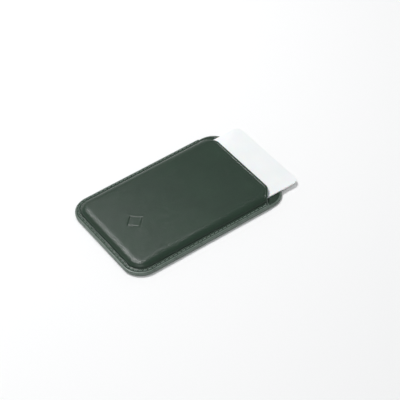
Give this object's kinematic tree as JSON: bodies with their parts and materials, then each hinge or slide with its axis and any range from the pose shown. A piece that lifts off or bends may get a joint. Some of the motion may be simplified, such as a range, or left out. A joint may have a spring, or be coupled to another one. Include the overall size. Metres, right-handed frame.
{
  "type": "card holder",
  "caption": "Slim leather card holder with a moulded pocket, sewn edges and a magnet ring in its back, holding a blank card that slides out of the mouth.",
  "frame": {"origin": "centre of the magnet ring, on the flat back face that lies against a phone", "axes": "+Y out of the pocket's mouth along the card's travel, +Z away from the phone through the front panel, +X across the holder to the right as seen from the front with the mouth up"},
  "size_m": [0.0654, 0.1061, 0.0049],
  "materials": {
    "leather": "dark green smooth vegetable-tanned leather with a light wax sheen",
    "edge_paint": "dark green edge dressing, semi-gloss",
    "thread": "dark green waxed polyester thread",
    "lining": "dark microfibre lining",
    "board": "black fibre-reinforced board",
    "magnet": "nickel-plated neodymium magnet",
    "steel": "cold-rolled steel sheet",
    "film": "double-sided adhesive film",
    "card_plastic": "white satin PVC"
  },
  "bodies": {
    "holder": {"back_leather": "leather", "carrier_board": "board", "magnet_film": "film", "ring_magnets": "magnet", "alignment_magnet": "magnet", "ring_shield": "steel", "alignment_shield": "steel", "pocket_floor": "leather", "front_leather": "leather", "front_lining": "lining", "outer_edge_paint": "edge_paint", "mouth_edge_paint": "edge_paint", "window_edge_paint": "edge_paint", "needle_thread": "thread", "bobbin_thread": "thread"},
    "card": {"card": "card_plastic"}
  },
  "joints": [
    {"name": "card_slide", "type": "slide", "parent": "holder", "child": "card", "axis": [0, 1, 0], "range_m": [-0.015, 0.0685]}
  ]
}
